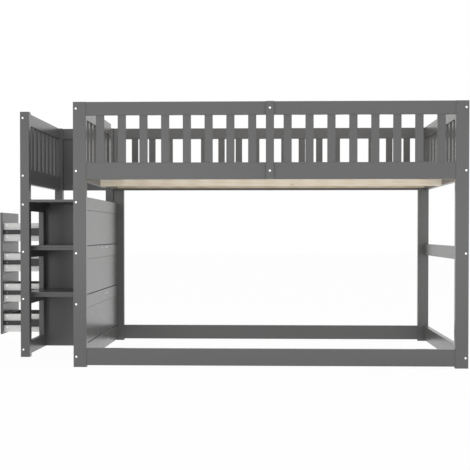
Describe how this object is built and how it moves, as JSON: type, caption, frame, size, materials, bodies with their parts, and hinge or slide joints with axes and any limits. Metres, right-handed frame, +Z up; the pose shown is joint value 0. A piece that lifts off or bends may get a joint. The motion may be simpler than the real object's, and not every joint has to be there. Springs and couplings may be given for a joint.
{
  "type": "low bunk bed with step tower and drawers",
  "caption": "Low bunk bed of grey painted boards: a guarded upper bunk over an open floor frame, with a step tower, landing and a stack of side drawers at its left end",
  "frame": {"origin": "on the floor, under the middle of the whole object's box with its drawers open as pictured", "axes": "+X runs along the bed to the end without the step tower, +Y from the front to the back, +Z up"},
  "size_m": [2.606, 1.4556, 1.34],
  "materials": {
    "grey_paint": "pine boards under semi-gloss mid-grey paint, faint grain, slightly worn edges",
    "plain_pine": "unpainted planed pine, satin, fine brown grain and small knots",
    "drawer_board": "board with a light warm-white foil, satin",
    "slide_steel": "black-coated folded steel, satin",
    "bolt_zinc": "bright zinc-plated steel, brushed",
    "screw_heads": "pale zinc-plated screw heads, satin"
  },
  "bodies": {
    "bed": {"back_guard_rails": "grey_paint", "back_guard_slats": "grey_paint", "back_left_post": "grey_paint", "back_right_post": "grey_paint", "back_side_rails": "grey_paint", "barrel_nuts": "bolt_zinc", "bunk_slats": "plain_pine", "centre_beam": "plain_pine", "centre_stiles": "grey_paint", "drawer_bay_walls": "grey_paint", "end_bunk_rails": "grey_paint", "end_floor_rails": "grey_paint", "floor_side_rails": "grey_paint", "frame_bolts": "bolt_zinc", "front_guard_rails": "grey_paint", "front_guard_slats": "grey_paint", "front_left_post": "grey_paint", "front_right_post": "grey_paint", "front_side_rails": "grey_paint", "joint_boards": "grey_paint", "landing_board": "grey_paint", "left_end_panels": "grey_paint", "left_end_rails": "grey_paint", "left_guard_rail": "grey_paint", "left_guard_slats": "grey_paint", "left_guard_stile": "grey_paint", "right_cross_rail": "grey_paint", "right_guard_rail": "grey_paint", "right_guard_slats": "grey_paint", "side_ledgers": "plain_pine", "slide_channels": "slide_steel", "steps": "grey_paint", "support_cleats": "grey_paint", "tower_back_panel": "grey_paint", "tower_back_post": "grey_paint", "tower_back_rails": "grey_paint", "tower_front_post": "grey_paint", "tower_guard_rails": "grey_paint", "tower_guard_slats": "grey_paint", "tower_inner_post": "grey_paint", "tower_screws": "screw_heads", "tower_side_rails": "grey_paint", "tower_stile": "grey_paint"},
    "drawer_1": {"drawer_1_front": "grey_paint", "drawer_1_box": "drawer_board", "drawer_1_runners": "slide_steel"},
    "carriage_1": {"drawer_1_carriages": "slide_steel"},
    "drawer_2": {"drawer_2_front": "grey_paint", "drawer_2_box": "drawer_board", "drawer_2_runners": "slide_steel"},
    "carriage_2": {"drawer_2_carriages": "slide_steel"},
    "drawer_3": {"drawer_3_front": "grey_paint", "drawer_3_box": "drawer_board", "drawer_3_runners": "slide_steel"},
    "carriage_3": {"drawer_3_carriages": "slide_steel"},
    "drawer_4": {"drawer_4_front": "grey_paint", "drawer_4_box": "drawer_board", "drawer_4_runners": "slide_steel"},
    "carriage_4": {"drawer_4_carriages": "slide_steel"}
  },
  "joints": [
    {"name": "drawer_1_slide", "type": "slide", "parent": "bed", "child": "drawer_1", "axis": [-1, 0, 0], "range_m": [-0.247, 0.053]},
    {"name": "carriage_1_slide", "type": "slide", "parent": "bed", "child": "carriage_1", "axis": [-1, 0, 0], "range_m": [-0.1235, 0.0265]},
    {"name": "drawer_2_slide", "type": "slide", "parent": "bed", "child": "drawer_2", "axis": [-1, 0, 0], "range_m": [-0.247, 0.053]},
    {"name": "carriage_2_slide", "type": "slide", "parent": "bed", "child": "carriage_2", "axis": [-1, 0, 0], "range_m": [-0.1235, 0.0265]},
    {"name": "drawer_3_slide", "type": "slide", "parent": "bed", "child": "drawer_3", "axis": [-1, 0, 0], "range_m": [-0.247, 0.053]},
    {"name": "carriage_3_slide", "type": "slide", "parent": "bed", "child": "carriage_3", "axis": [-1, 0, 0], "range_m": [-0.1235, 0.0265]},
    {"name": "drawer_4_slide", "type": "slide", "parent": "bed", "child": "drawer_4", "axis": [-1, 0, 0], "range_m": [-0.247, 0.053]},
    {"name": "carriage_4_slide", "type": "slide", "parent": "bed", "child": "carriage_4", "axis": [-1, 0, 0], "range_m": [-0.1235, 0.0265]}
  ],
  "couplings": [
    {"joint": "carriage_1_slide", "follows": "drawer_1_slide", "ratio": 0.5},
    {"joint": "carriage_2_slide", "follows": "drawer_2_slide", "ratio": 0.5},
    {"joint": "carriage_3_slide", "follows": "drawer_3_slide", "ratio": 0.5},
    {"joint": "carriage_4_slide", "follows": "drawer_4_slide", "ratio": 0.5}
  ]
}
